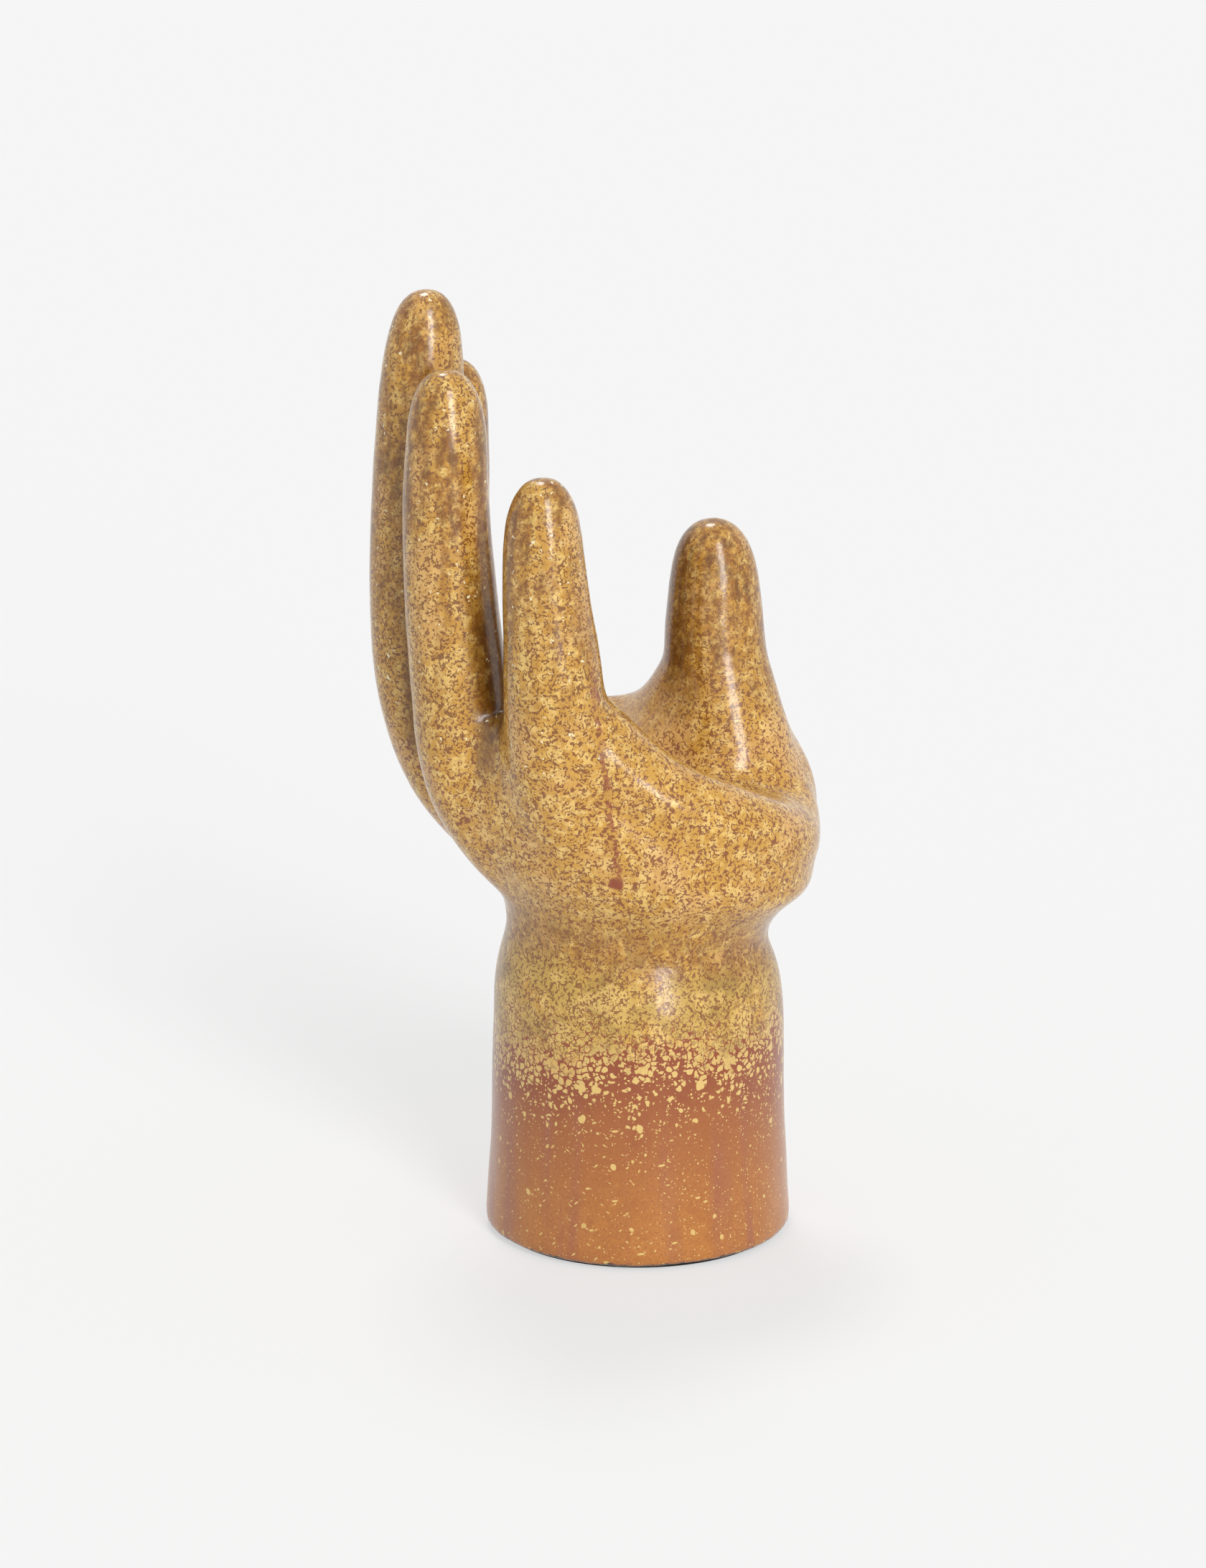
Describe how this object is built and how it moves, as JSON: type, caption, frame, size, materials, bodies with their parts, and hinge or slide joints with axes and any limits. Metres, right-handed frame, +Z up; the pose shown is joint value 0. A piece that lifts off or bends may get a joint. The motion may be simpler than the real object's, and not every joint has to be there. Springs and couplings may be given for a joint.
{
  "type": "ceramic hand sculpture",
  "caption": "Hollow glazed ceramic right hand standing upright on a round wrist, its palm cupped like a small bowl that can hold a trinket; rests on a felt disc.",
  "frame": {"origin": "centre of the felt's underside, the flat face that the sculpture stands on", "axes": "+Z up along the wrist to the fingertips; +X the way that the cupped palm opens, towards the thumb; the little finger is on the -Y side and the back of the hand faces -X"},
  "size_m": [0.1569, 0.1291, 0.3296],
  "materials": {
    "glaze_ochre": "glossy ochre glaze with a fine dark brown network of flecks",
    "glaze_rust": "glossy rust glaze with small yellow flecks, olive ochre at the top",
    "bare_clay": "unglazed red-brown clay, matte",
    "felt": "dark brown felt"
  },
  "bodies": {
    "root": {"wrist_sleeve": "glaze_rust", "palm_shell": "glaze_ochre", "index_finger": "glaze_ochre", "middle_finger": "glaze_ochre", "ring_finger": "glaze_ochre", "little_finger": "glaze_ochre", "thumb": "glaze_ochre", "floor_slab": "bare_clay", "base_felt": "felt"}
  },
  "joints": []
}
